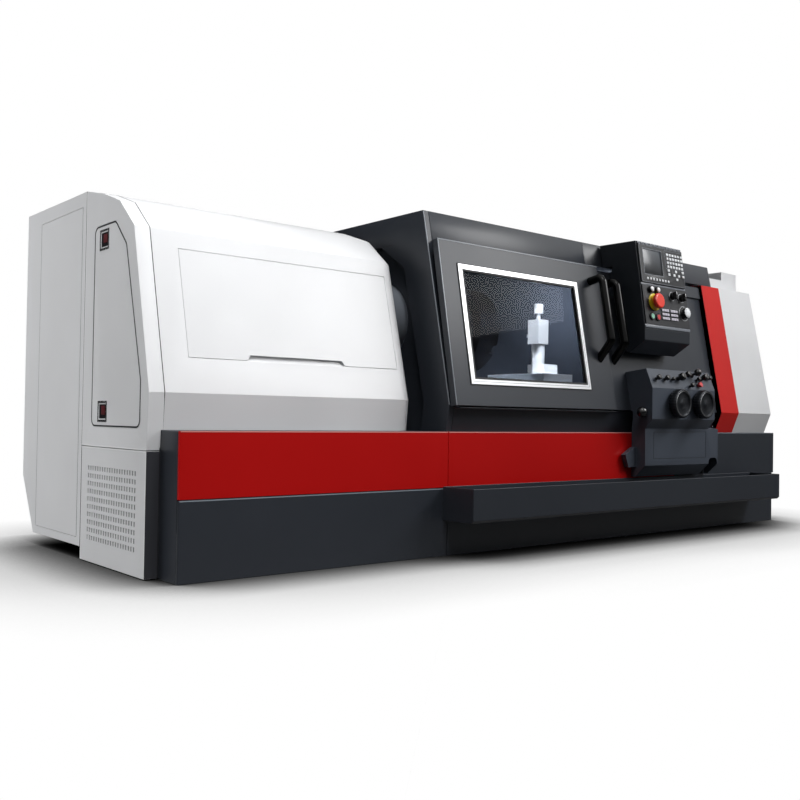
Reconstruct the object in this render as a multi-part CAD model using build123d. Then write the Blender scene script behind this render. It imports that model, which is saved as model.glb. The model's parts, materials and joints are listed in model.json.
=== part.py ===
from build123d import *
import os
from math import hypot

os.makedirs("parts", exist_ok=True)

# A CNC turning lathe in a full sheet-metal enclosure. X runs along the machine from the
# headstock end, Y from the front of the base to the rear, Z up from the floor. Sizes are
# millimetres. The pieces are moved to the frame's origin only as they are written.

# Base
BASE_LEN = 4962
BASE_H = 665
BASE_DEPTH = 943
BASE_COVER = 16
BASE_SEAM = 1572
RED_Z = 366
RED_END = 3660
PANEL_GAP = 4
BASE_WALL = 12
TOE_X = BASE_LEN - 22

# Front tray
TRAY_X0 = 1536
TRAY_X1 = BASE_LEN - 343
TRAY_FRONT = -236
TRAY_Z0 = 193
TRAY_Z1 = 372
TRAY_WALL = 6

# Light grey housing at the headstock end
END_X = -66
SEAM_X = 10
COVER_X1 = 1481
COVER_ROUND = 90
SKIN = 4
FOLD = (176, 834)
SHOULDER = (BASE_DEPTH - 576, 1603)
EAVES = (BASE_DEPTH - 408, 1744)
RIDGE = (BASE_DEPTH - 203, 1813)
REAR_EDGE = (BASE_DEPTH, 1857)
COVER_FOOT_Y = 190
END_SEAM_Z = 574
HATCH_X0 = 145
HATCH_X1 = 1383
HATCH_V0 = 171
HATCH_V1 = 702
LEDGE = 18
SEAT = 0.3
LINE_GAP = 2.5

# Electrical cabinet behind it
CAB_Z0 = 66
CAB_REAR = BASE_DEPTH + 887
CAB_TOP = 1866
CAB_CHAMFER = (190, 313)
CAB_DOOR_Y = (BASE_DEPTH + 50, BASE_DEPTH + 657)
CAB_DOOR_Z = (110, 1783)

# Dark enclosure
ENC_X0 = 1597
ENC_X1 = BASE_LEN - 544
ENC_TOP = 1911
ENC_REAR = BASE_DEPTH + 257
ENC_WALL = 40
FRAME_FOLD = (28, 809)
FRAME_TOP_Y = 269
FRAME_FOOT_Y = 50
POCKET_OFFSET = 64

# Leaning door plane, from its fold up
DOOR_FOLD = (-29, 808)
DOOR_TOP = (147, ENC_TOP - 173)
DOOR_T = 42
DOOR_SKIN = 3
SPLIT_X = 2990
STATION_RECESS = 30
STATION_T = 40
STATION_V = (5, 16)
STRIPE_X0 = ENC_X1 - 229
STATION_X1 = STRIPE_X0 - 10
RIGHT_X1 = BASE_LEN - 95
RIGHT_FOOT_Y = 27
RIGHT_TOP = ENC_TOP - 169
WINDOW_U = (1729, 2754)
WINDOW_V = (121, DOOR_TOP[1] - 927)
WINDOW_BAR = 37
HANDLE_R = 26
HANDLE_REACH = 104
HANDLE_V = (339, DOOR_TOP[1] - 905)
HANDLE_LEFT_X = 2893
HANDLE_RIGHT_X = 3070

# Apron panel of the control station
APRON_X = (3174, 3885)
APRON_FRONT = -161
APRON_Z = (754, 953)
APRON_HEAD = (-111, 1077)
BOSS_X1 = 3640
LOW_X1 = APRON_X[1] + 125
LOW_FRONT = -110
LOW_Z = (454, 692)
LOW_FOOT_Z = 381
WHEEL_R = 95
WHEEL_X = (3425, 3697)
WHEEL_Z = 856
WHEEL_FACE = -225

# Control pendant above it
PEND_X = (3150, 3650)
PEND_TAIL = (4, APRON_HEAD[1] + 103)
PEND_ROOT_Z = PEND_TAIL[1] + 25
PEND_SILL_Z = PEND_TAIL[1] + 78
PEND_FOOT = (-117, PEND_SILL_Z + 72)
PEND_HEAD = (-33, ENC_TOP - 7)

# Turning gear inside
AXIS_Y = BASE_DEPTH - 283
AXIS_Z = 1300
BED_X = (ENC_X0 + 43, ENC_X1 - 78)
WAY_Z = 930
CHUCK_X = (2190, 2350)
CHUCK_R = 265
SPINDLE_R = 80
FIT = 0.06
TURRET = (2802, AXIS_Y - 182)
SADDLE_X = (TURRET[0] - 322, TURRET[0] + 288)
TURRET_S = 96
TURRET_Z = (AXIS_Z - 64, AXIS_Z + 96)
TAIL_X = (ENC_X1 - 698, ENC_X1 - 218)
QUILL_R = 55

# Frame origin: middle of the footprint on the floor
ORIGIN = ((END_X + BASE_LEN) / 2, (TRAY_FRONT + CAB_REAR) / 2, 0)


def block(x0, x1, y0, y1, z0, z1):
    """Box between six coordinates."""
    return Pos(x0, y0, z0) * Box(x1 - x0, y1 - y0, z1 - z0, align=(Align.MIN,) * 3)


def along_x(points, x0, x1):
    """Side outline of (y, z) points, pushed from x0 to x1."""
    wire = Wire.make_polygon([(x0, y, z) for y, z in points], close=True)
    return extrude(Face(wire), amount=x1 - x0, dir=(1, 0, 0))


def along_y(points, y0, y1):
    """Front outline of (x, z) points, pushed from y0 to y1."""
    wire = Wire.make_polygon([(x, y0, z) for x, z in points], close=True)
    return extrude(Face(wire), amount=y1 - y0, dir=(0, 1, 0))


def rod(radius, start, end):
    """Round bar between two points."""
    a, b = Vector(*start), Vector(*end)
    plane = Plane(origin=a, z_dir=(b - a).normalized())
    return extrude(plane * Circle(radius), amount=(b - a).length)


def cone(r0, r1, start, end):
    """Tapered round bar between two points."""
    a, b = Vector(*start), Vector(*end)
    plane = Plane(origin=a, z_dir=(b - a).normalized())
    body = Cone(r0, r1, (b - a).length, align=(Align.CENTER, Align.CENTER, Align.MIN))
    return plane.location * body


def inset(points, t):
    """Closed anticlockwise outline moved inwards by t, with mitred corners."""
    moved = []
    for i, (y, z) in enumerate(points):
        (ya, za), (yb, zb) = points[i - 1], points[(i + 1) % len(points)]
        la, lb = hypot(y - ya, z - za), hypot(yb - y, zb - z)
        na = (-(z - za) / la, (y - ya) / la)
        nb = (-(zb - z) / lb, (yb - y) / lb)
        k = t / (1 + na[0] * nb[0] + na[1] * nb[1])
        moved.append((y + k * (na[0] + nb[0]), z + k * (na[1] + nb[1])))
    return moved


def housing(points, x0, x1, t):
    """Closed sheet box with an anticlockwise (y, z) outline."""
    return along_x(points, x0, x1) - along_x(inset(points, t), x0 + t, x1 - t)


def strip(points, t, x0, x1):
    """Folded sheet: a line of (y, z) points given rear side thickness t."""
    rear = []
    for i, (y, z) in enumerate(points):
        ya, za = points[max(i - 1, 0)]
        yb, zb = points[min(i + 1, len(points) - 1)]
        la, lb = hypot(y - ya, z - za) or 1, hypot(yb - y, zb - z) or 1
        na = ((z - za) / la, -(y - ya) / la) if i else None
        nb = ((zb - z) / lb, -(yb - y) / lb) if i < len(points) - 1 else None
        na, nb = na or nb, nb or na
        k = t / (1 + na[0] * nb[0] + na[1] * nb[1])
        rear.append((y + k * (na[0] + nb[0]), z + k * (na[1] + nb[1])))
    return along_x(points + rear[::-1], x0, x1)


class Lean:
    """Leaning face through two (y, z) points: u along X, v up the face, w outwards."""

    def __init__(self, low, high):
        run, rise = high[0] - low[0], high[1] - low[1]
        self.length = hypot(run, rise)
        self.sin, self.cos = run / self.length, rise / self.length
        self.low = low

    def place(self, shape):
        plane = Plane(origin=(0, *self.low), x_dir=(1, 0, 0), z_dir=(0, -self.cos, self.sin))
        return plane.location * shape

    def at(self, v, w=0):
        """The (y, z) point at v up the face and w in front of it."""
        return (self.low[0] + v * self.sin - w * self.cos, self.low[1] + v * self.cos + w * self.sin)

    def point(self, u, v, w=0):
        return (u, *self.at(v, w))


DOOR = Lean(DOOR_FOLD, DOOR_TOP)
COVER = Lean(FOLD, SHOULDER)
PEND = Lean(PEND_FOOT, PEND_HEAD)
DESK = Lean((APRON_FRONT, APRON_Z[1]), APRON_HEAD)


def pan(u0, u1, v0, v1, depth, t):
    """Sheet panel with four returned edges, open behind, face at w = 0."""
    return block(u0, u1, v0, v1, -depth, 0) - block(u0 + t, u1 - t, v0 + t, v1 - t, -depth, -t)


def cover_panel(x0, x1, z0, z1):
    """Front cover of the base: a shallow sheet pan facing the operator."""
    return block(x0, x1, 0, BASE_COVER, z0, z1) - block(
        x0 + SKIN, x1 - SKIN, SKIN, BASE_COVER, z0 + SKIN, z1 - SKIN
    )


# Base


def base_frame():
    outer = block(0, TOE_X, BASE_COVER, BASE_DEPTH, 0, BASE_H)
    inner = block(BASE_WALL, TOE_X - BASE_WALL, BASE_COVER + BASE_WALL, BASE_DEPTH - BASE_WALL,
                  BASE_WALL, BASE_H - BASE_WALL)
    ribs = [block(x, x + BASE_WALL, BASE_COVER + 1, BASE_DEPTH - 1, 1, BASE_H - 1)
            for x in range(620, TOE_X - 200, 620)]
    nose = block(TOE_X, BASE_LEN, BASE_COVER, BASE_DEPTH, RED_Z, BASE_H)
    frame = outer - inner
    for rib in ribs:
        frame += rib
    return frame + nose


def base_cover_left():
    return cover_panel(0, BASE_SEAM - PANEL_GAP / 2, 0, RED_Z - PANEL_GAP)


def base_cover_right():
    low = cover_panel(BASE_SEAM + PANEL_GAP / 2, TOE_X, 0, RED_Z - PANEL_GAP)
    high = cover_panel(RED_END + PANEL_GAP, BASE_LEN, RED_Z - PANEL_GAP, BASE_H)
    return low + high


def red_panel_left():
    return cover_panel(0, BASE_SEAM - PANEL_GAP / 2, RED_Z, BASE_H)


def red_panel_right():
    return cover_panel(BASE_SEAM + PANEL_GAP / 2, RED_END, RED_Z, BASE_H)


def chip_tray():
    outer = block(TRAY_X0, TRAY_X1, TRAY_FRONT, 0, TRAY_Z0, TRAY_Z1)
    outer = chamfer(outer.edges().filter_by(Axis.X).sort_by(Axis.Z)[:2].sort_by(Axis.Y)[:1], 14)
    trough = block(TRAY_X0 + TRAY_WALL, TRAY_X1 - TRAY_WALL, TRAY_FRONT + TRAY_WALL, -TRAY_WALL,
                   TRAY_Z0 + TRAY_WALL + 14, TRAY_Z1)
    return outer - trough


# Headstock end


def end_outline(foot_z):
    return [(COVER_FOOT_Y, foot_z), (REAR_EDGE[0], foot_z), REAR_EDGE, RIDGE, EAVES, SHOULDER, FOLD]


END_DOOR_Y = 260


def end_door_outline(grow=0):
    """Service door outline as (y, z), grown outwards by a margin."""
    rear = BASE_DEPTH - 117
    shape = [(END_DOOR_Y, 672), (rear, 672), (rear, 1653), (rear - 254, 1653), (rear - 383, 1528),
             (END_DOOR_Y, 888)]
    return inset(shape, -grow)


def rounded(points, x0, x1, radius):
    body = along_x(points, x0, x1)
    return fillet(body.edges().filter_by(Axis.X), radius)


def end_frame():
    outline = end_outline(END_SEAM_Z)
    shell = along_x(outline, END_X, SEAM_X) - along_x(inset(outline, SKIN), END_X + SKIN, SEAM_X)
    shell -= block(0, SEAM_X, 0, REAR_EDGE[0], END_SEAM_Z, BASE_H)
    ledge = along_x(end_door_outline(12), END_X + SKIN, END_X + 2 * SKIN)
    shell = shell + ledge - rounded(end_door_outline(-LEDGE), END_X, END_X + 2 * SKIN, 30)
    return shell - rounded(end_door_outline(LINE_GAP), END_X, END_X + SKIN, 42)


LATCHES = {"upper": (BASE_DEPTH - 238, 1580), "lower": (BASE_DEPTH - 253, 745)}
LATCH_W = 96
LATCH_H = 86
LATCH_CUP = 16


def latch_box(centre, margin, x0, x1):
    y, z = centre
    return block(x0, x1, y - LATCH_W / 2 - margin, y + LATCH_W / 2 + margin,
                 z - LATCH_H / 2 - margin, z + LATCH_H / 2 + margin)


PIN_R = 0.8
PIN_OFF = 0.5


def upright_pin(y, z0, z1):
    """Hinge pin along the upright edge of a door in the end face."""
    return rod(PIN_R, (END_X + PIN_R, y, z0), (END_X + PIN_R, y, z1))


def end_door():
    panel = rounded(end_door_outline(), END_X, END_X + SKIN - SEAT, 40)
    panel += upright_pin(END_DOOR_Y - PIN_OFF, 720, 860)
    for centre in LATCHES.values():
        panel += latch_box(centre, 2, END_X, END_X + LATCH_CUP)
        panel -= latch_box(centre, -8, END_X, END_X + LATCH_CUP - 2)
    return panel


def latch(centre):
    """Flush paddle, hinged on its rear edge in the cup of the service door."""
    y, z = centre
    paddle = latch_box(centre, -9, END_X, END_X + 7)
    grip = block(END_X, END_X + 5, y - LATCH_W / 2 + 9, y - LATCH_W / 2 + 30, z - 22, z + 22)
    web = block(END_X + 7, END_X + LATCH_CUP - 2 - SEAT, y + 26, y + 34, z - 26, z + 26)
    return paddle - grip + web


def latch_upper():
    return latch(LATCHES["upper"])


def latch_lower():
    return latch(LATCHES["lower"])


VENT_Y = (191, BASE_DEPTH - 2)
VENT_ROWS = 10
VENT_COLS = 20
VENT_PITCH = (28.8, 38)
VENT_SLOT = (10, 22)
VENT_START = (BASE_DEPTH - 641, 124)


def vent_panel():
    body = block(END_X, 0, *VENT_Y, 5, END_SEAM_Z - PANEL_GAP)
    body -= block(END_X + 3, 0, VENT_Y[0] + 3, VENT_Y[1] - 3, 8, END_SEAM_Z - PANEL_GAP - 3)
    w, h = VENT_SLOT
    slots = [
        block(END_X, END_X + 3, y - w / 2, y + w / 2, z - h / 2, z + h / 2)
        for y in (VENT_START[0] + VENT_PITCH[0] * i for i in range(VENT_COLS))
        for z in (VENT_START[1] + VENT_PITCH[1] * j for j in range(VENT_ROWS))
    ]
    return body - slots


def cover_main():
    """Headstock cover: folded sheet with a rounded end towards the enclosure."""
    outline = end_outline(BASE_H)
    outer = along_x(outline, SEAM_X, COVER_X1)
    inner_line = inset(outline, SKIN)
    inner_line[0] = (inner_line[0][0], BASE_H)
    inner_line[1] = (REAR_EDGE[0], BASE_H)
    inner_line[2] = (REAR_EDGE[0], inner_line[2][1])
    inner = along_x(inner_line, SEAM_X, COVER_X1 - SKIN)
    outer = round_end(outer, COVER_ROUND)
    inner = round_end(inner, COVER_ROUND - SKIN)
    shell = outer - inner
    ring = block(HATCH_X0 - 12, HATCH_X1 + 12, HATCH_V0 - 12, HATCH_V1 + 12, -2 * SKIN, -SKIN)
    cup = block(HATCH_SLOT[0], HATCH_SLOT[1], HATCH_V0 - 12, HATCH_V0 + 48, -16, -SKIN)
    shell += COVER.place(ring + cup)
    shell -= COVER.place(block(HATCH_X0 + LEDGE, HATCH_X1 - LEDGE, HATCH_V0 + 48, HATCH_V1 - LEDGE, -20, 1))
    shell -= COVER.place(block(HATCH_X0 - LINE_GAP, HATCH_X1 + LINE_GAP, HATCH_V0 - LINE_GAP,
                               HATCH_V1 + LINE_GAP, -SKIN, 1))
    recess = block(HATCH_SLOT[0] + 6, HATCH_SLOT[1] - 6, HATCH_V0 - LINE_GAP, HATCH_V0 + 42, -13, 0)
    shell -= COVER.place(recess)
    return shell - axis_rod(NOSE_R + 10, COVER_X1 - 2 * SKIN, COVER_X1 + 1)


HATCH_SLOT = (455, 1035)
HATCH_SLOT_H = 27


def round_end(body, radius):
    """Rounds the front and top edges of the end that faces the enclosure."""
    face = body.faces().sort_by(Axis.X)[-1]
    edges = [e for e in face.edges()
             if e.center().Z > BASE_H + 2 and e.center().Y < REAR_EDGE[0] - 1]
    return fillet(edges, radius)


def hatch():
    panel = block(HATCH_X0, HATCH_X1, HATCH_V0, HATCH_V1, -SKIN + SEAT, 0)
    notch = [(HATCH_SLOT[0], HATCH_V0 - 1), (HATCH_SLOT[1], HATCH_V0 - 1),
             (HATCH_SLOT[1] - 18, HATCH_V0 + HATCH_SLOT_H), (HATCH_SLOT[0] + 18, HATCH_V0 + HATCH_SLOT_H)]
    cut = extrude(Face(Wire.make_polygon([(u, v, -SKIN) for u, v in notch], close=True)), amount=2 * SKIN,
                  dir=(0, 0, 1))
    pin = rod(PIN_R, (HATCH_X0 + 20, HATCH_V1 + PIN_OFF, 0), (HATCH_X1 - 20, HATCH_V1 + PIN_OFF, 0))
    return COVER.place(panel - cut + pin)


def cabinet_outline():
    dy, dz = CAB_CHAMFER
    return [(BASE_DEPTH, CAB_Z0), (CAB_REAR - dy, CAB_Z0), (CAB_REAR, CAB_Z0 + dz),
            (CAB_REAR, CAB_TOP), REAR_EDGE]


def rear_cabinet():
    body = housing(cabinet_outline(), END_X, COVER_X1, SKIN)
    (y0, y1), (z0, z1) = CAB_DOOR_Y, CAB_DOOR_Z
    body += block(END_X + SKIN, END_X + 2 * SKIN, y0 - 12, y1 + 12, z0 - 12, z1 + 12)
    body -= block(END_X, END_X + 2 * SKIN, y0 + LEDGE, y1 - LEDGE, z0 + LEDGE, z1 - LEDGE)
    return body - block(END_X, END_X + SKIN, y0 - LINE_GAP, y1 + LINE_GAP, z0 - LINE_GAP, z1 + LINE_GAP)


def cabinet_door():
    pin = upright_pin(CAB_DOOR_Y[1] + PIN_OFF, CAB_DOOR_Z[0] + 20, CAB_DOOR_Z[1] - 20)
    return block(END_X, END_X + SKIN - SEAT, *CAB_DOOR_Y, *CAB_DOOR_Z) + pin


GEAR_X = 900
GEAR_DEPTH = 130
GEAR_Z = (150, 1780)
GEAR_ROWS = (300, 700, 1100, 1450)


def cabinet_gear():
    """Mounting plate across the cabinet with rows of drives and breakers."""
    plate = block(GEAR_X, GEAR_X + 3, BASE_DEPTH + SKIN, CAB_DOOR_Y[1] + 10, *GEAR_Z)
    for z in GEAR_ROWS:
        for i in range(4):
            y = CAB_DOOR_Y[0] + 7 + 145 * i
            plate += block(GEAR_X - GEAR_DEPTH, GEAR_X, y, y + 120, z, z + 230)
    return plate


# Enclosure


def frame_y(z):
    """Front of the enclosure frame at a height above its fold."""
    k = (z - FRAME_FOLD[1]) / (ENC_TOP - FRAME_FOLD[1])
    return FRAME_FOLD[0] + k * (FRAME_TOP_Y - FRAME_FOLD[0])


def wall_left():
    """End wall: a deep dark pocket follows the headstock cover, and the nose passes through."""
    side = [(FRAME_FOOT_Y, BASE_H), (ENC_REAR, BASE_H), (ENC_REAR, ENC_TOP), (FRAME_TOP_Y, ENC_TOP),
            FRAME_FOLD]
    wall = along_x(side, ENC_X0, ENC_X0 + ENC_WALL)
    rear, top = BASE_DEPTH + 57, EAVES[1] - 4
    arch = [(COVER_FOOT_Y, BASE_H), (rear, BASE_H), (rear, top), (EAVES[0] + 42, top), SHOULDER, FOLD]
    arch = [(y + POCKET_OFFSET if y < rear else y, z - 1 if z == BASE_H else z) for y, z in arch]
    wall -= along_x(arch, ENC_X0, ENC_X0 + ENC_WALL - 6)
    return wall - rod(NOSE_R + 4, (ENC_X0, AXIS_Y, AXIS_Z), (ENC_X0 + ENC_WALL, AXIS_Y, AXIS_Z))


HEADER_Z = ENC_TOP - 169
HEADER_REAR = 430
HEADER_X1 = ENC_X1 + 42


def header():
    """Box beam over the doors, with the lip that guides them."""
    x0 = ENC_X0 + ENC_WALL
    beam = housing([(frame_y(HEADER_Z), HEADER_Z), (HEADER_REAR, HEADER_Z), (HEADER_REAR, ENC_TOP),
                    (FRAME_TOP_Y, ENC_TOP)], x0, HEADER_X1, SKIN)
    lip = block(x0, STRIPE_X0, DOOR_TOP[0] + 8, frame_y(HEADER_Z) + 20, DOOR_TOP[1] + 1, HEADER_Z)
    return beam + lip


def enclosure_back():
    """Roof and rear sheet of the working space."""
    x0, x1 = ENC_X0 + ENC_WALL, ENC_X1 - ENC_WALL
    roof = block(x0, x1, HEADER_REAR, ENC_REAR, ENC_TOP - SKIN, ENC_TOP)
    return roof + block(x0, x1, ENC_REAR - SKIN, ENC_REAR, BASE_H, ENC_TOP)


TRACK_Z = 799.5


def sill():
    """Front sill below the doors: the tapering fold and the track lip of the left door."""
    x0 = ENC_X0 + ENC_WALL
    body = along_x([(FRAME_FOOT_Y, BASE_H), (95, BASE_H), (95, TRACK_Z), FRAME_FOLD[:1] + (TRACK_Z,)],
                   x0, STRIPE_X0)
    lip = block(x0, SPLIT_X - 2, DOOR_FOLD[0] + 8, FRAME_FOLD[0] + 10, TRACK_Z - 6, TRACK_Z)
    return body + lip


def wall_right():
    inside = DOOR.at(0, -STATION_RECESS - STATION_T - 18)
    top = DOOR.at(DOOR.length, -STATION_RECESS - STATION_T - 18)
    side = [(inside[0], BASE_H), (ENC_REAR, BASE_H), (ENC_REAR, HEADER_Z), (HEADER_REAR, HEADER_Z),
            (top[0], HEADER_Z - 14), (inside[0], inside[1])]
    return housing(side, ENC_X1 - ENC_WALL, ENC_X1, SKIN)


def right_line():
    """Front line shared by the stripe and the right cover."""
    return [(RIGHT_FOOT_Y, BASE_H), DOOR_FOLD, DOOR_TOP]


def stripe_cover():
    line = right_line()
    return strip(line + [(frame_y(HEADER_Z) + 4, DOOR_TOP[1])], SKIN, STRIPE_X0, ENC_X1)


def right_cover():
    """Light grey cover of the tailstock end, open towards the enclosure."""
    front = right_line()
    top = [(159, RIGHT_TOP), (ENC_REAR, RIGHT_TOP), (ENC_REAR, BASE_H)]
    sheet = strip(front[:2] + top, SKIN, ENC_X1, RIGHT_X1 - SKIN)
    end = along_x(front[:1] + [(ENC_REAR, BASE_H)] + [(ENC_REAR, RIGHT_TOP), (159, RIGHT_TOP), DOOR_FOLD],
                  RIGHT_X1 - SKIN, RIGHT_X1)
    return sheet + end


STEP_Y = (270, ENC_REAR - 340)
STEP_X = (RIGHT_X1 - 377, RIGHT_X1 - 212)
STEP_Z = (RIGHT_TOP + 93, RIGHT_TOP + 157)


def step_box():
    """Stepped light housing on the roof of the right cover."""
    low = block(STEP_X[0], STEP_X[1] + 1, *STEP_Y, RIGHT_TOP, STEP_Z[0])
    high = block(STEP_X[1], RIGHT_X1, *STEP_Y, RIGHT_TOP, STEP_Z[1])
    return low + high - block(STEP_X[0] + SKIN, RIGHT_X1 - SKIN, STEP_Y[0] + SKIN, STEP_Y[1] - SKIN,
                              RIGHT_TOP, STEP_Z[0] - SKIN)


# Doors


def door_left():
    panel = pan(ENC_X0 + 2, SPLIT_X - 2, 0, DOOR.length, DOOR_T, DOOR_SKIN)
    (u0, u1), (v0, v1) = WINDOW_U, WINDOW_V
    lap = 10
    panel += block(u0, u1, v0, v1, -DOOR_T, 0)
    panel -= block(u0 + lap, u1 - lap, v0 + lap, v1 - lap, -DOOR_T, 0)
    return DOOR.place(panel)


def window_frame():
    """Bright frame round the pane: a face band and a neck that enters the door."""
    (u0, u1), (v0, v1) = WINDOW_U, WINDOW_V
    b = WINDOW_BAR
    band = block(u0, u1, v0, v1, 0, 7) - block(u0 + b, u1 - b, v0 + b, v1 - b, 0, 7)
    neck = block(u0 + 10, u1 - 10, v0 + 10, v1 - 10, -22, 0) - block(u0 + b, u1 - b, v0 + b, v1 - b, -22, 0)
    groove = block(u0 + 16, u1 - 16, v0 + 16, v1 - 16, -16, -8)
    return DOOR.place(band + neck - groove)


def window_glass():
    (u0, u1), (v0, v1) = WINDOW_U, WINDOW_V
    return DOOR.place(block(u0 + 16, u1 - 16, v0 + 16, v1 - 16, -16, -8))


def pull_handle(x, face_w):
    """Bowed pull bar with a square upper leg and a slanted lower one."""
    v0, v1 = HANDLE_V
    w = face_w + HANDLE_REACH
    route = [DOOR.point(x, v1, face_w - 30), DOOR.point(x, v1, w), DOOR.point(x, v0 + 80, w),
             DOOR.point(x, v0 - 30, face_w - 30)]
    path = FilletPolyline(*route, radius=38)
    start = Plane(origin=path @ 0, z_dir=path % 0)
    bar = sweep(start * Circle(HANDLE_R), path=path)
    keep = DOOR.place(block(x - 60, x + 60, v0 - 120, v1 + 80, face_w, w + 60))
    return bar & keep


def handle_left():
    return pull_handle(HANDLE_LEFT_X, 0)


def handle_right():
    return pull_handle(HANDLE_RIGHT_X, -STATION_RECESS)


BAND_T = 12


def door_right():
    """Right door, with a raised band beside the pendant's neck."""
    top = DOOR.length - STATION_V[1]
    panel = pan(SPLIT_X + 2, STATION_X1, STATION_V[0], top, STATION_T, DOOR_SKIN)
    panel += block(PEND_X[1] + 10, STATION_X1, DOOR.length - 102, top, 0, BAND_T)
    return DOOR.place(Pos(0, 0, -STATION_RECESS) * panel)


# Control station, carried by the right door


def station_at(z):
    """The (y, z) point of the right door's face at a height."""
    v = (z - DOOR.at(0, -STATION_RECESS)[1]) / DOOR.cos
    return DOOR.at(v, -STATION_RECESS)


def pendant():
    top, neck = HEADER_Z + 10, DOOR_TOP[1] - 20
    side = [(PEND_FOOT[0], PEND_SILL_Z), PEND_TAIL, station_at(PEND_ROOT_Z), station_at(neck),
            (DOOR_TOP[0] + 3, neck), (DOOR_TOP[0] + 3, top), (frame_y(top) - 9, top),
            (FRAME_TOP_Y - 17, PEND_HEAD[1] + 2), PEND_HEAD, PEND_FOOT]
    return housing(side, *PEND_X, 3)


def up(v):
    """Height on the pendant's face, in its full size's millimetres."""
    return v * PEND.length / 580


LCD_V = (up(306), up(562))
PANEL_V = (up(30), up(290))
SCREEN_U = (3203, 3398)
SCREEN_V = (up(366), up(530))
CURSOR_KEYS = ((3458, 404), (3540, 404), (3618, 404), (3460, 377), (3518, 377), (3570, 377), (3620, 377),
               (3545, 350))


def lcd_unit():
    """Display unit: bezel with a sunken screen, a row of soft keys and a keypad."""
    body = block(PEND_X[0] + 10, PEND_X[1] - 6, *LCD_V, 0, 12)
    body -= block(*SCREEN_U, *SCREEN_V, 8, 12)
    for i in range(8):
        u = 3217 + 32.5 * i
        body += block(u, u + 15, up(328), up(341), 12, 14)
    keys = [(3458 + 31.5 * col, 431 + 27 * row) for row in range(4) for col in range(6)]
    for u, v in keys + list(CURSOR_KEYS):
        body += block(u, u + 21, up(v), up(v + 16), 12, 14)
    return PEND.place(body)


LAMPS = ((3240, up(262)), (3308, up(262)))
ESTOP = (3268, up(180))
BUTTONS = {"start": (3228, up(83)), "stop": (3291, up(81))}
KNOBS = ((3478, up(238)), (3578, up(234)))
DIAL = (3590, up(130))


def panel_pin(centre, radius, w0, w1):
    u, v = centre
    return PEND.place(rod(radius, (u, v, w0), (u, v, w1)))


def operator_panel():
    """Lower plate with lamps, key blocks, collars and the bores of its controls."""
    body = PEND.place(block(PEND_X[0] + 10, PEND_X[1] - 4, *PANEL_V, 0, 8))
    for lamp in LAMPS:
        body += panel_pin(lamp, 16, 8, 16)
    body += panel_pin(ESTOP, 54, 8, 14)
    for row in range(3):
        for col in range(2):
            u, v = 3338 + 96 * col, 71 + 27 * row
            body += PEND.place(block(u, u + 80, up(v), up(v + 18), 8, 12))
    for centre in (ESTOP, *BUTTONS.values(), *KNOBS, DIAL):
        body -= panel_pin(centre, 8 + FIT, 0, 20)
    return body


def estop():
    stem = panel_pin(ESTOP, 8, 7, 34)
    neck = panel_pin(ESTOP, 26, 21, 34)
    head = panel_pin(ESTOP, 50, 32, 60)
    head = fillet(head.edges().filter_by(GeomType.CIRCLE), 11)
    return stem + neck + head


def push_button(centre):
    return panel_pin(centre, 8, 5, 14) + panel_pin(centre, 17, 13, 19)


def button_start():
    return push_button(BUTTONS["start"])


def button_stop():
    return push_button(BUTTONS["stop"])


def grip_knob(centre):
    """Selector knob with a raised finger bar."""
    u, v = centre
    bar = PEND.place(block(u - 7, u + 7, v - 24, v + 24, 28, 48))
    return panel_pin(centre, 8, 1, 12) + panel_pin(centre, 26, 8 + SEAT, 30) + bar


def knob_left():
    return grip_knob(KNOBS[0])


def knob_right():
    return grip_knob(KNOBS[1])


def feed_dial():
    skirt = panel_pin(DIAL, 44, 8 + SEAT, 16)
    return panel_pin(DIAL, 8, 1, 12) + skirt + panel_pin(DIAL, 34, 16, 40)


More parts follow.
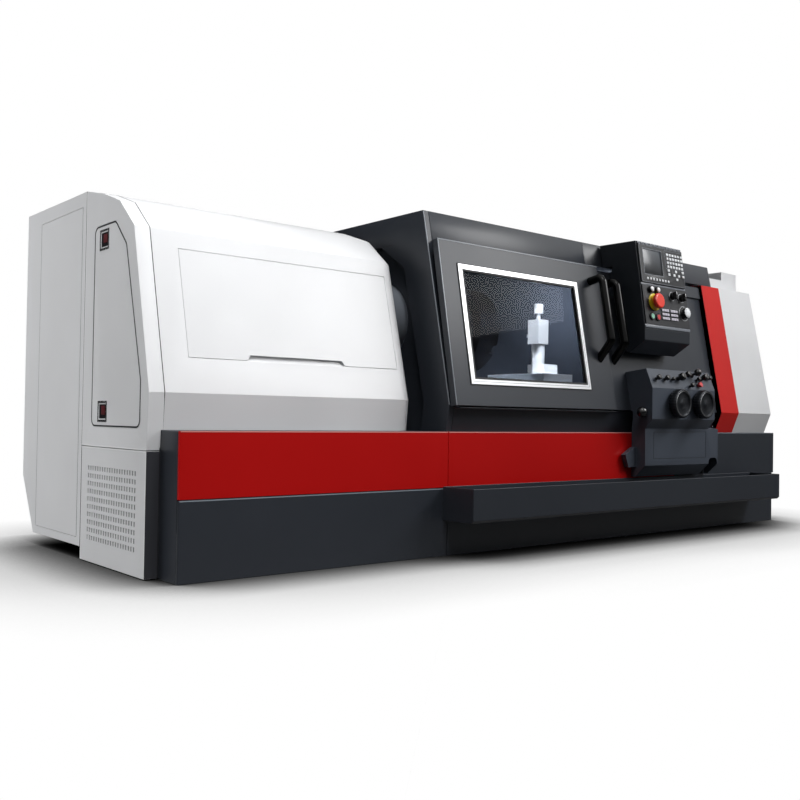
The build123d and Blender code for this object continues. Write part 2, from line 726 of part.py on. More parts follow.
def apron():
    """Desk-shaped manual panel with a lower box, carried by the right door."""
    f, (z0, z1) = APRON_FRONT, APRON_Z
    head = APRON_HEAD[1] - 15
    desk = along_x([(f, z0), (-46, z0), (-46, z0 + 58), (-8, head), APRON_HEAD, (f, z1)], *APRON_X)
    boss = along_x([(f + 20, z0), (-12, z0), (-12, z0 + 41), station_at(z0 + 56), station_at(head - 6),
                    APRON_HEAD, (f + 20, z1)], APRON_X[0], BOSS_X1)
    low = along_x([(LOW_FRONT, LOW_Z[0]), (-34, LOW_FOOT_Z), (-5, LOW_FOOT_Z), (-5, 700), (-12, z0),
                   (f, z0), (LOW_FRONT, LOW_Z[1])], *APRON_X)
    wing = along_x([(LOW_FRONT, LOW_Z[0]), (-34, LOW_FOOT_Z), (-5, LOW_FOOT_Z), (-5, 700), (-60, 700),
                    (LOW_FRONT, LOW_Z[1])], APRON_X[0], LOW_X1)
    body = desk + boss + low + wing
    body -= block(APRON_X[0] + 6, APRON_X[1] - 6, f + 20, -52, z0 + 6, z1 - 8)
    body -= block(APRON_X[0] + 6, LOW_X1 - 6, LOW_FRONT + 6, -11, LOW_Z[0] + 6, LOW_Z[1] - 8)
    arch = block(APRON_X[1] + 14, LOW_X1 - 8, LOW_FRONT, -5, LOW_FOOT_Z, LOW_Z[0] + 40)
    body -= fillet(arch.edges().filter_by(Axis.Y).sort_by(Axis.Z)[-2:], 30)
    u0, u1, v0, v1 = APRON_X[0] + 89, APRON_X[1] - 24, LOW_Z[0] + 42, LOW_Z[1] - 21
    ring = block(u0, u1, LOW_FRONT, LOW_FRONT + 2, v0, v1)
    ring -= block(u0 + 3, u1 - 3, LOW_FRONT, LOW_FRONT + 2, v0 + 3, v1 - 3)
    body -= ring
    x, z = APRON_X[0], LOW_Z[0]
    bracket = [(x, z - 10), (x, z + 118), (x - 24, z + 115), (x - 115, z + 70), (x - 80, z - 11)]
    body += along_y(bracket, -44, -9)
    for x in WHEEL_X:
        body -= rod(12 + FIT, (x, f, WHEEL_Z), (x, f + 20, WHEEL_Z))
    body -= DESK.place(rod(STICK_BALL + 0.5, (*STICK, 1), (*STICK, -18)))
    body -= DESK.place(rod(8 + FIT, (*RED_BUTTON, 0), (*RED_BUTTON, -12)))
    return body - rod(9 + FIT, (APRON_X[0] - 1, *BALL), (APRON_X[0] + 8, *BALL))


STICK = (3664, 104)
STICK_BALL = 15.5
RED_BUTTON = (3703, 31)
BALL = (-111, 797)
SELECTORS = ((3242, 63, 17), (3335, 63, 17), (3413, 63, 12), (3489, 73, 24), (3578, 96, 20),
             (3600, 23, 15), (3704, 72, 14), (3764, 81, 22), (3841, 84, 14))


def handwheel(x):
    """Deep knurled wheel with a dished face on a short shaft."""
    f = APRON_FRONT
    shaft = rod(12, (x, f + 18, WHEEL_Z), (x, f - 8, WHEEL_Z))
    hub = rod(58, (x, f - SEAT, WHEEL_Z), (x, f - 12, WHEEL_Z))
    rim = rod(WHEEL_R, (x, f - 10, WHEEL_Z), (x, WHEEL_FACE, WHEEL_Z))
    rim = fillet(rim.edges().filter_by(GeomType.CIRCLE), 7)
    dish = rod(WHEEL_R - 17, (x, WHEEL_FACE, WHEEL_Z), (x, WHEEL_FACE + 9, WHEEL_Z))
    return shaft + hub + rim - dish


def handwheel_left():
    return handwheel(WHEEL_X[0])


def handwheel_right():
    return handwheel(WHEEL_X[1])


def selector_knobs():
    """Row of small selector knobs on the sloping desk."""
    knobs = None
    for u, v, r in SELECTORS:
        one = rod(r * 0.6, (u, v, 0), (u, v, r)) + rod(r, (u, v, r), (u, v, 2.4 * r))
        one = fillet(one.edges().filter_by(GeomType.CIRCLE).sort_by(Axis.Z)[-1:], r * 0.4)
        knobs = one if knobs is None else knobs + one
    return DESK.place(knobs)


def joystick():
    u, v = STICK
    ball = Pos(u, v, 0) * Sphere(STICK_BALL)
    stem = rod(9, (u, v, 0), (u, v, 36))
    head = Pos(u, v, 52) * Sphere(25)
    return DESK.place(ball + stem + head)


def apron_button():
    u, v = RED_BUTTON
    return DESK.place(rod(8, (u, v, -7), (u, v, 12)) + rod(18, (u, v, 10), (u, v, 26)))


def pull_knob():
    """Ball knob of the lubrication pump on the side of the panel."""
    y, z = BALL
    stem = rod(9, (APRON_X[0] + 45, y, z), (APRON_X[0] - 20, y, z))
    return stem + Pos(APRON_X[0] - 38, y, z) * Sphere(34)


# Turning gear

NOSE_R = 230
NOSE_X1 = CHUCK_X[0] - 70
HEAD_X = (420, 1420)
HEAD_Y = (AXIS_Y - 250, AXIS_Y + 260)
HEAD_TOP = AXIS_Z + 260
HEAD_WALL = 32


def axis_rod(radius, x0, x1):
    return rod(radius, (x0, AXIS_Y, AXIS_Z), (x1, AXIS_Y, AXIS_Z))


def headstock():
    x0, x1 = HEAD_X
    y0, y1 = HEAD_Y
    w = HEAD_WALL
    body = block(x0, x1, y0, y1, BASE_H, HEAD_TOP)
    body = chamfer(body.edges().filter_by(Axis.X).sort_by(Axis.Z)[-2:], 60)
    body -= block(x0 + w, x1 - w, y0 + w, y1 - w, BASE_H + w, HEAD_TOP - 60 - w)
    body += axis_rod(NOSE_R, x1 - w, NOSE_X1) - axis_rod(NOSE_R - 60, x1, NOSE_X1 - 60)
    return body - axis_rod(SPINDLE_R + FIT, x0 - 1, NOSE_X1 + 1)


def bed():
    """Cast bed with a prismatic and a flat way on each side."""
    z = WAY_Z
    half = [(100, WAY_Z - 170), (100, z), (155, z), (180, z + 20), (205, z), (240, z), (240, z - 30),
            (230, z - 50), (230, BASE_H)]
    front = [(AXIS_Y - y, z) for y, z in half]
    rear = [(AXIS_Y + y, z) for y, z in half[::-1]]
    return along_x(rear + front, *BED_X)


def spindle():
    flange = axis_rod(140, NOSE_X1 + 2, CHUCK_X[0] - 40)
    shaft = axis_rod(SPINDLE_R, HEAD_X[0] - 60, NOSE_X1 + 2)
    return shaft + flange - axis_rod(50, HEAD_X[0] - 60, NOSE_X1 - 20)


JAW_W = 60
JAW_SLOT = 42


def turned(shape, angle):
    return shape.rotate(Axis((0, AXIS_Y, AXIS_Z), (1, 0, 0)), angle)


def chuck():
    x0, x1 = CHUCK_X
    body = axis_rod(200, x0 - 40, x0) + axis_rod(CHUCK_R, x0, x1)
    body -= axis_rod(45, x1 - 14, x1)
    for i in range(3):
        slot = block(x1 - JAW_SLOT, x1, AXIS_Y - JAW_W / 2, AXIS_Y + JAW_W / 2, AXIS_Z + 40, AXIS_Z + CHUCK_R)
        body -= turned(slot, 120 * i)
    return body


def jaw(i):
    """Stepped jaw in its slot, one of three."""
    x1 = CHUCK_X[1]
    c = 1
    foot = block(x1 - JAW_SLOT + SEAT, x1, AXIS_Y - JAW_W / 2 + c, AXIS_Y + JAW_W / 2 - c,
                 AXIS_Z + 95, AXIS_Z + 240)
    step = block(x1, x1 + 34, AXIS_Y - JAW_W / 2 + c, AXIS_Y + JAW_W / 2 - c, AXIS_Z + 95, AXIS_Z + 205)
    tip = block(x1 + 34, x1 + 66, AXIS_Y - JAW_W / 2 + c, AXIS_Y + JAW_W / 2 - c, AXIS_Z + 95, AXIS_Z + 150)
    return turned(foot + step + tip, 120 * i)


def jaw_1():
    return jaw(0)


def jaw_2():
    return jaw(1)


def jaw_3():
    return jaw(2)


SLIDE_Z = (WAY_Z + 55, WAY_Z + 105)
WAY_GAP = 0.4


def vee_grooves(x0, x1):
    """Grooves that run on the prismatic ways."""
    return [along_x([(y - 27, WAY_Z), (y + 27, WAY_Z), (y, WAY_Z + 21.6)], x0, x1)
            for y in (AXIS_Y - 180, AXIS_Y + 180)]


def saddle():
    """Carriage that rides the bed's ways, with a bridge towards the operator."""
    x0, x1 = SADDLE_X
    y0, y1 = AXIS_Y - 260, AXIS_Y + 260
    body = block(x0, x1, y0, y1, WAY_Z + WAY_GAP, SLIDE_Z[0] - SEAT)
    body += block(x0 + 140, x1 - 110, y0 - 140, y0 + 1, WAY_Z + WAY_GAP, SLIDE_Z[0] - SEAT)
    return body - vee_grooves(x0, x1)


def cross_slide():
    x, y = TURRET
    body = block(x - 142, x + 141, y - 178, y + 322, *SLIDE_Z)
    body += block(x + 2, x + 141, y - 48, y + 92, SLIDE_Z[1], SLIDE_Z[1] + 70)
    neck = rod(44, (*TURRET, SLIDE_Z[1]), (*TURRET, TURRET_Z[0] - SEAT))
    return body + neck - rod(20 + FIT, (*TURRET, TURRET_Z[0] - 60), (*TURRET, TURRET_Z[0]))


def turret():
    """Four-way tool turret: square block, clamp screw above and two tool shanks."""
    x, y = TURRET
    s = TURRET_S / 2
    z0, z1 = TURRET_Z
    body = block(x - s, x + s, y - s, y + s, z0, z1)
    body += rod(14, (x, y, z1), (x, y, z1 + 46)) + rod(33, (x, y, z1 + 44), (x, y, z1 + 106))
    body += rod(20, (x, y, z0), (x, y, z0 - 56))
    body += block(x + 14, x + 40, y + s, y + s + 70, AXIS_Z - 12, AXIS_Z + 12)
    return body + block(x + s, x + s + 60, y + 14, y + 40, AXIS_Z - 12, AXIS_Z + 12)


def tailstock():
    x0, x1 = TAIL_X
    half = [(220, WAY_Z + WAY_GAP), (210, WAY_Z + 80), (110, WAY_Z + 130), (90, AXIS_Z)]
    rear = [(AXIS_Y + y, z) for y, z in half]
    front = [(AXIS_Y - y, z) for y, z in half[::-1]]
    body = along_x(rear + front, x0, x1) - vee_grooves(x0, x1)
    body += axis_rod(105, x0 - 40, x1 - 20)
    return body - axis_rod(QUILL_R + FIT, x0 - 41, x1 - 60)


def quill():
    x0 = TAIL_X[0]
    return axis_rod(QUILL_R, x0 - 110, x0 + 330) - axis_rod(24 + FIT, x0 - 110, x0 - 42)


def live_centre():
    x0 = TAIL_X[0]
    body = axis_rod(24, x0 - 120, x0 - 44) + axis_rod(46, x0 - 156, x0 - 110 - SEAT)
    return body + cone(46, 2, (x0 - 156, AXIS_Y, AXIS_Z), (x0 - 230, AXIS_Y, AXIS_Z))


PIECES = [
    base_frame, base_cover_left, base_cover_right, red_panel_left, red_panel_right, chip_tray,
    end_frame, end_door, latch_upper, latch_lower, vent_panel, cover_main, hatch,
    rear_cabinet, cabinet_door, cabinet_gear,
    wall_left, header, enclosure_back, sill, wall_right, stripe_cover, right_cover, step_box,
    door_left, window_frame, window_glass, handle_left, door_right, handle_right,
    pendant, lcd_unit, operator_panel, estop, button_start, button_stop, knob_left, knob_right, feed_dial,
    apron, handwheel_left, handwheel_right, selector_knobs, joystick, apron_button, pull_knob,
    headstock, bed, spindle, chuck, jaw_1, jaw_2, jaw_3, saddle, cross_slide, turret, tailstock, quill,
    live_centre,
]

to_frame = Pos(-ORIGIN[0], -ORIGIN[1], 0)
for piece in PIECES:
    export_step(to_frame * piece(), f"parts/{piece.__name__}.step")
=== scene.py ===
import json
import math

import bmesh
import bpy
from mathutils import Matrix, Vector


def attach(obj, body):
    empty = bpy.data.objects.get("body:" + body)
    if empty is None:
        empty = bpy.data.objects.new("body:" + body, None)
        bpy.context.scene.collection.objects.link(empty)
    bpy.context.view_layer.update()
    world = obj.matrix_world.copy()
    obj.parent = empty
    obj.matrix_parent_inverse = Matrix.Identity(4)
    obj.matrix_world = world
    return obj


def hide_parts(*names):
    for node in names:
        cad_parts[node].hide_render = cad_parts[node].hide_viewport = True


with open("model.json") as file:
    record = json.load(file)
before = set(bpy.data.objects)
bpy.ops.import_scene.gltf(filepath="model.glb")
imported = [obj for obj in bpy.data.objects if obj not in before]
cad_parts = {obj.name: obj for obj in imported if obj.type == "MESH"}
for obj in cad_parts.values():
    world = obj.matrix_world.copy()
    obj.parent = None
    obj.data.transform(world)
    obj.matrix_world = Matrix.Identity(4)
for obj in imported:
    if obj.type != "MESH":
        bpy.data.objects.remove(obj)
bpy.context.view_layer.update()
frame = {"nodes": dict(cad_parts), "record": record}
scene = bpy.context.scene
scene.view_settings.view_transform = "Standard"
BODY_OF = {node: body for body, nodes in frame["record"]["behaviour"]["bodies"].items() for node in nodes}

# Studio: the lathe stands on a white floor that runs into a white backdrop. One gridded lamp lights the
# headstock cover and one the operator's right, and two fill lamps lift both ends.
# CORNER is how far the frame's origin lies from the base's front left corner, in metres.
CORNER = Vector((2.448, 0.797, 0))


def at(x, y, z):
    """Frame point of millimetres measured from the base's front left corner."""
    return Vector((x, y, z)) / 1000 - CORNER


def add(tree, kind, inputs=None, **settings):
    """Adds a shader node with its settings, and with values or other nodes' sockets as inputs."""
    made = tree.nodes.new(kind)
    for name, value in settings.items():
        setattr(made, name, value)
    for name, value in (inputs or {}).items():
        if isinstance(value, bpy.types.NodeSocket):
            tree.links.new(value, made.inputs[name])
        else:
            made.inputs[name].default_value = value
    return made


def colour(code):
    """Linear colour of an sRGB hex code."""
    parts = [int(code[i:i + 2], 16) / 255 for i in (1, 3, 5)]
    return [p / 12.92 if p <= 0.04045 else ((p + 0.055) / 1.055) ** 2.4 for p in parts] + [1]


def new_material(name):
    """An empty node material and its output."""
    made = bpy.data.materials.new(name)
    made.use_nodes = True
    made.node_tree.nodes.clear()
    return made, made.node_tree, add(made.node_tree, "ShaderNodeOutputMaterial")


# The camera stands low, off the headstock end's front corner.
YAW, PITCH, ROLL = (math.radians(angle) for angle in (39.68, 1.1, 0.88))
EYE = at(-1853, -3714, 735)
FOCAL_LENGTH = 42.2
ahead = Vector((math.sin(YAW) * math.cos(PITCH), math.cos(YAW) * math.cos(PITCH), math.sin(PITCH)))
level = Vector((math.cos(YAW), -math.sin(YAW), 0))
upright = level.cross(ahead)
camera = bpy.data.objects.new("camera", bpy.data.cameras.new("camera"))
scene.collection.objects.link(camera)
axes = (level * math.cos(ROLL) + upright * math.sin(ROLL),
        upright * math.cos(ROLL) - level * math.sin(ROLL),
        -ahead)
camera.matrix_world = Matrix.Translation(EYE) @ Matrix(axes).transposed().to_4x4()
camera.data.lens = FOCAL_LENGTH
camera.data.sensor_width = 36
scene.camera = camera

world = bpy.data.worlds.new("white_studio")
world.use_nodes = True
world.node_tree.nodes.clear()
scene.world = world
sky = world.node_tree
path = add(sky, "ShaderNodeLightPath")
side = add(sky, "ShaderNodeSeparateXYZ", {0: add(sky, "ShaderNodeTexCoord").outputs["Generated"]})
# Gloss and glass see the white studio overhead, which falls off to a dim aisle at the level of the floor.
# The far end of the studio, behind the machine, is unlit.
aisle = add(sky, "ShaderNodeMapRange", {"Value": side.outputs["Z"], "From Min": 0.0, "From Max": 0.6,
                                        "To Min": 0.12, "To Max": 1.0})
depth = add(sky, "ShaderNodeMapRange", {"Value": side.outputs["Y"], "From Min": -0.1, "From Max": 0.6,
                                        "To Min": 1.0, "To Max": 0.15})
studio = add(sky, "ShaderNodeMath", {0: aisle.outputs[0], 1: depth.outputs[0]}, operation="MULTIPLY")
shiny = add(sky, "ShaderNodeMath", {0: path.outputs["Is Glossy Ray"], 1: path.outputs["Is Transmission Ray"]},
            operation="MAXIMUM")
# Matt surfaces get this faint, even light from all round.
AMBIENT = 0.09
soft = add(sky, "ShaderNodeMix", {0: shiny.outputs[0], 2: AMBIENT, 3: studio.outputs[0]})
strength = add(sky, "ShaderNodeMix", {0: path.outputs["Is Camera Ray"], 2: soft.outputs[0], 3: 1.0})
backdrop = add(sky, "ShaderNodeBackground", {"Color": (1, 1, 1, 1), "Strength": strength.outputs[0]})
add(sky, "ShaderNodeOutputWorld", {"Surface": backdrop.outputs[0]})


def lamp(name, place, target, size, power):
    """Soft rectangular lamp that faces a point."""
    made = bpy.data.objects.new(name, bpy.data.lights.new(name, "AREA"))
    made.data.shape = "RECTANGLE"
    made.data.size, made.data.size_y = size
    made.data.energy = power
    facing = (target - place).to_track_quat("-Z", "Y").to_matrix().to_4x4()
    made.matrix_world = Matrix.Translation(place) @ facing
    scene.collection.objects.link(made)
    return made


# The last two numbers are each lamp's power in watts and the angle its grid leaves open, in degrees.
for name, place, target, power, spread in (
        ("cover_lamp", Vector((-2.7, -2.6, 5.8)), Vector((-2.5, -0.4, 1.2)), 60, 64),
        ("front_lamp", Vector((3.0, -4.3, 4.1)), Vector((0.8, -0.7, 1.1)), 29, 70)):
    lamp(name, place, target, (3.0, 2.0), power).data.spread = math.radians(spread)
# Two fill lamps light the ends and show in no gloss.
for name, place, target, size, power in (
        ("right_lamp", Vector((4.4, -3.0, 4.6)), Vector((2.0, -0.4, 1.0)), 1.6, 120),
        ("end_lamp", Vector((-6.5, 2.6, 1.8)), Vector((-2.5, 0.5, 0.9)), 2.5, 150)):
    lamp(name, place, target, (size, size), power).visible_glossy = False

# The camera sees a white floor that darkens near the machine. The machine gets a dimmer light from it.
floor_paint, tree, out = new_material("white_studio_floor")
path = add(tree, "ShaderNodeLightPath")
matt = add(tree, "ShaderNodeBsdfDiffuse", {"Color": colour("#757575")})
around = add(tree, "ShaderNodeAmbientOcclusion", {"Distance": 1.1}, samples=16)
contact = add(tree, "ShaderNodeAmbientOcclusion", {"Distance": 0.4}, samples=16)
wide = add(tree, "ShaderNodeMath", {0: around.outputs["AO"], 1: 1.5}, operation="POWER")
close = add(tree, "ShaderNodeMath", {0: contact.outputs["AO"], 1: 2.4}, operation="POWER")
shadow = add(tree, "ShaderNodeMath", {0: wide.outputs[0], 1: close.outputs[0]}, operation="MULTIPLY")
glow = add(tree, "ShaderNodeEmission", {"Strength": shadow.outputs[0]})
both = add(tree, "ShaderNodeMixShader", {0: path.outputs["Is Camera Ray"], 1: matt.outputs[0],
                                         2: glow.outputs[0]})
tree.links.new(both.outputs[0], out.inputs["Surface"])
floor = bmesh.new()
bmesh.ops.create_grid(floor, x_segments=1, y_segments=1, size=60)
floor_mesh = bpy.data.meshes.new("studio_floor")
floor.to_mesh(floor_mesh)
floor_mesh.materials.append(floor_paint)
studio_floor = bpy.data.objects.new("studio_floor", floor_mesh)
scene.collection.objects.link(studio_floor)


# Base: welded steel box in anthracite powder coat, with folded front covers. Powder coat is sprayed
# dry and baked, which leaves a satin skin with a faint orange peel and softly rounded folds.
def powder_coat(name, shade, rough, peel=0.03, drift=0.06, level=0.5):
    """Baked polyester powder coat over sheet steel."""
    made, tree, out = new_material(name)
    place = add(tree, "ShaderNodeTexCoord").outputs["Object"]
    # Orange peel is 1 to 2 mm across, too fine to show at this distance, so it is drawn at 7 mm.
    skin = add(tree, "ShaderNodeTexNoise", {"Vector": place, "Scale": 140, "Detail": 3})
    bump = add(tree, "ShaderNodeBump", {"Height": skin.outputs[0], "Strength": peel, "Distance": 0.002})
    # Film thickness drifts over half a metre, which moves the shade and gloss a little.
    film = add(tree, "ShaderNodeTexNoise", {"Vector": place, "Scale": 2.2, "Detail": 2})
    gloss = add(tree, "ShaderNodeMapRange", {"Value": film.outputs[0], "To Min": rough - drift,
                                             "To Max": rough + drift})
    base = colour(shade)
    tint = add(tree, "ShaderNodeMix", {0: film.outputs[0]}, data_type="RGBA")
    tint.inputs[6].default_value = [c * 0.93 for c in base[:3]] + [1]
    tint.inputs[7].default_value = [min(c * 1.07, 1) for c in base[:3]] + [1]
    coat = add(tree, "ShaderNodeBsdfPrincipled", {
        "Base Color": tint.outputs[2], "Roughness": gloss.outputs[0], "Normal": bump.outputs[0],
        "Specular IOR Level": level, "Coat Weight": 0.2, "Coat Roughness": 0.22})
    tree.links.new(coat.outputs[0], out.inputs["Surface"])
    return made


def piece(name, shape, material, body, smooth=35):
    """Makes a piece from a bmesh, gives it its finish and lets it ride on a body."""
    mesh = bpy.data.meshes.new(name)
    shape.to_mesh(mesh)
    shape.free()
    mesh.materials.append(material)
    mesh.shade_smooth()
    mesh.set_sharp_from_angle(angle=math.radians(smooth))
    made = bpy.data.objects.new(name, mesh)
    scene.collection.objects.link(made)
    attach(made, body)
    return made


def folded(nodes, material, width=0.004, segments=3):
    """Stands for solid nodes with their edges rounded, as folded and ground sheet has them."""
    for node in nodes:
        shape = bmesh.new()
        shape.from_mesh(frame["nodes"][node].data)
        bmesh.ops.remove_doubles(shape, verts=shape.verts, dist=0.00001)
        bmesh.ops.dissolve_limit(shape, angle_limit=math.radians(1), verts=shape.verts, edges=shape.edges)
        one = piece(f"{node}_finished", shape, material, BODY_OF[node])
        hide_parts(node)
        soft = one.modifiers.new("soft_edges", "BEVEL")
        soft.width = width
        soft.segments = segments
        soft.limit_method = "ANGLE"
        soft.angle_limit = math.radians(28)
        soft.harden_normals = True


anthracite = powder_coat("anthracite_powder_coat", "#2a2e35", 0.4, level=0.35)
folded(["base_frame", "base_cover_left", "base_cover_right"], anthracite, 0.005)
folded(["chip_tray"], anthracite, 0.003)

# Red covers: two long sheet panels under the doors, in the same powder coat with a deeper gloss.
signal_red = powder_coat("signal_red_powder_coat", "#b60f0e", 0.4, level=0.12)
folded(["red_panel_left", "red_panel_right"], signal_red, 0.006)


# Headstock end: folded sheet in light grey powder coat, with a service door, a hatch and vent slots
# punched in the lower panel.
def leaning(low, high):
    """Millimetre axes of a leaning face through two (y, z) points: across it, up it and out of it."""
    run, rise = high[0] - low[0], high[1] - low[1]
    length = math.hypot(run, rise)
    sine, cosine = run / length, rise / length
    axes = Matrix(((1, 0, 0), (0, sine, -cosine), (0, cosine, sine)))
    return Matrix.Translation(at(0, *low)) @ axes.to_4x4() @ Matrix.Diagonal((0.001, 0.001, 0.001, 1))


def bar(shape, low, high, rounding=0.0):
    """Adds a box between two corners, with its edges rounded."""
    made = bmesh.ops.create_cube(shape, size=1)["verts"]
    span = Vector(high) - Vector(low)
    bmesh.ops.scale(shape, vec=span, verts=made)
    bmesh.ops.translate(shape, vec=Vector(low) + span / 2, verts=made)
    if rounding:
        edges = {edge for corner in made for edge in corner.link_edges}
        bmesh.ops.bevel(shape, geom=list(edges), offset=rounding, segments=2, profile=0.5, affect="EDGES",
                        material=-1)


def border(shape, low, high, width, w0, w1):
    """Adds a flat frame of four bars inside a rectangle."""
    (u0, v0), (u1, v1) = low, high
    bar(shape, (u0, v0, w0), (u1, v0 + width, w1))
    bar(shape, (u0, v1 - width, w0), (u1, v1, w1))
    bar(shape, (u0, v0 + width, w0), (u0 + width, v1 - width, w1))
    bar(shape, (u1 - width, v0 + width, w0), (u1, v1 - width, w1))


def turn(shape, profile, centre, steps=40):
    """Adds a turned part: (radius, height) points spun about the line out of the face."""
    u, v = centre
    ring = [shape.verts.new((u + radius, v, height)) for radius, height in profile]
    line = [shape.edges.new(ends) for ends in zip(ring, ring[1:])]
    bmesh.ops.spin(shape, geom=ring + line, cent=(u, v, 0), axis=(0, 0, 1), angle=math.tau, steps=steps,
                   use_merge=True)
    bmesh.ops.remove_doubles(shape, verts=shape.verts, dist=0.001)


def collar(shape, inner, outer, w0, w1, centre):
    """Adds a ring with a chamfered outer edge."""
    profile = [(inner, w0), (outer, w0), (outer, w1 - 1), (outer - 1, w1), (inner, w1), (inner, w0)]
    turn(shape, profile, centre)


def set_on(face, name, shape, material, body, smooth=35):
    """Turns a shape from a face's millimetres into a finished piece on a body."""
    bmesh.ops.recalc_face_normals(shape, faces=shape.faces)
    shape.transform(face)
    return piece(name, shape, material, body, smooth)


def moulded(name, shade, rough, coat=0.0, grain=260, level=0.5):
    """Injection moulded plastic or rubber with a faint spark-eroded grain."""
    made, tree, out = new_material(name)
    place = add(tree, "ShaderNodeTexCoord").outputs["Object"]
    # The mould's grain is under 1 mm, so it is drawn at about 4 mm.
    spots = add(tree, "ShaderNodeTexNoise", {"Vector": place, "Scale": grain, "Detail": 2})
    relief = add(tree, "ShaderNodeBump", {"Height": spots.outputs[0], "Strength": 0.04, "Distance": 0.001})
    gloss = add(tree, "ShaderNodeMapRange", {"Value": spots.outputs[0], "To Min": rough - 0.05,
                                             "To Max": rough + 0.05})
    skin = add(tree, "ShaderNodeBsdfPrincipled", {
        "Base Color": colour(shade), "Roughness": gloss.outputs[0], "Normal": relief.outputs[0],
        "Specular IOR Level": level, "Coat Weight": coat, "Coat Roughness": 0.08})
    tree.links.new(skin.outputs[0], out.inputs["Surface"])
    return made


pearl_grey = powder_coat("light_grey_powder_coat", "#dcdddf", 0.4)
folded(["end_frame", "cover_main", "rear_cabinet"], pearl_grey, 0.005)
folded(["end_door", "hatch", "cabinet_door"], pearl_grey, 0.0012, 2)
folded(["vent_panel"], pearl_grey, 0.0008, 1)


# Door seals: black rubber lips glued round the edge of each door, which close the gap to the frame.
def lip(face, name, corners, radius, body, width=3.6, height=0.9):
    """Adds the seal of one door from the corners of its outline, rounded to a radius."""
    shape = bmesh.new()
    ring = [shape.verts.new((u, v, 0.1)) for u, v in corners]
    shape.faces.new(ring)
    for i, corner in enumerate(ring):
        before, after = Vector(corners[i - 1]), Vector(corners[(i + 1) % len(corners)])
        turned = (Vector(corners[i]) - before).angle(after - Vector(corners[i]))
        if radius:
            bmesh.ops.bevel(shape, geom=[corner], offset=radius * math.tan(turned / 2), segments=8,
                            profile=0.5, affect="VERTICES", material=-1)
    outline = shape.faces[:]
    bmesh.ops.inset_individual(shape, faces=outline, thickness=width, use_even_offset=True)
    bmesh.ops.delete(shape, geom=outline, context="FACES_ONLY")
    raised = bmesh.ops.extrude_face_region(shape, geom=shape.faces[:])["geom"]
    top = [part for part in raised if isinstance(part, bmesh.types.BMVert)]
    bmesh.ops.translate(shape, vec=(0, 0, height), verts=top)
    return set_on(face, name, shape, seal_rubber, body)


def end_face(x):
    """Millimetre axes of an upright face towards the headstock end: to the front, up and out of it."""
    axes = Matrix(((0, 0, -0.001, 0), (-0.001, 0, 0, 0), (0, 0.001, 0, 0), (0, 0, 0, 1)))
    return Matrix.Translation(at(x, 0, 0)) @ axes


seal_rubber = moulded("black_rubber_lip", "#17181a", 0.6)
# The end doors lie 66 mm outside the base's left end.
END_FACE = end_face(-66)
COVER_FACE = leaning((176, 834), (367, 1603))
lip(END_FACE, "service_door_seal",
    [(-826, 672), (-260, 672), (-260, 888), (-443, 1528), (-572, 1653), (-826, 1653)],
    40, "service_door", 7)
lip(END_FACE, "cabinet_door_seal",
    [(-1600, 110), (-993, 110), (-993, 1783), (-1600, 1783)],
    0, "cabinet_end_door")
lip(COVER_FACE, "hatch_seal",
    [(145, 171), (455, 171), (473, 198), (1017, 198), (1035, 171), (1383, 171), (1383, 702), (145, 702)],
    0, "top_hatch", 2.4, 0.3)

# Joint strips: dark foam tape fills the joints between the sheets. The light strips on both sides of it
# are painted highlights on the sheet edges. A dark post in front of the vent panel, where it meets the
# base, is painted shade.
END_LINE = ((190, 665), (176, 834), (367, 1603), (535, 1744), (740, 1813), (943, 1857))
END_PARTS = ("foot", "front", "shoulder", "eaves", "ridge")


def tape(face, name, boxes, material, body):
    """Adds flat strips given as (u0, v0, u1, v1, height)."""
    shape = bmesh.new()
    for u0, v0, u1, v1, height in boxes:
        bar(shape, (u0, v0, -1), (u1, v1, height))
    return set_on(face, name, shape, material, body)


# Painted highlights: light strips beside the joints stand for the sheet edges catching the light.
joint_highlight_paint = powder_coat("painted_highlight_edge", "#f4f5f6", 0.35)
for part_name, low, high in zip(END_PARTS, END_LINE, END_LINE[1:]):
    span = math.dist(low, high)
    tape(leaning(low, high), f"cover_joint_{part_name}", [(8, 0, 12, span, 0.6)], seal_rubber, "machine")
tape(END_FACE, "cabinet_joint", [(-946, 66, -940, 1856, 0.6)], seal_rubber, "machine")
tape(END_FACE, "painted_joint_highlights",
     [(-951, 66, -946, 1856, 0.7), (-940, 574, -936, 1850, 0.7), (-941, 565, -191, 570, 0.7),
      (-941, 574, -191, 579, 0.7), (-196, 6, -191, 565, 0.7)],
     joint_highlight_paint, "machine")
POST_FACE = leaning((191, 0), (191, 570))
# Painted shade: the dark grey post stands for the shade on the vent panel's front face.
vent_shade_grey = powder_coat("painted_shade_grey_coat", "#34353a", 0.45)
tape(POST_FACE, "painted_shade_post", [(-65, 6, -4, 569, 1.2)], vent_shade_grey, "machine")
tape(POST_FACE, "base_joint", [(-4, 6, 0, 664, 1.6)], seal_rubber, "machine")


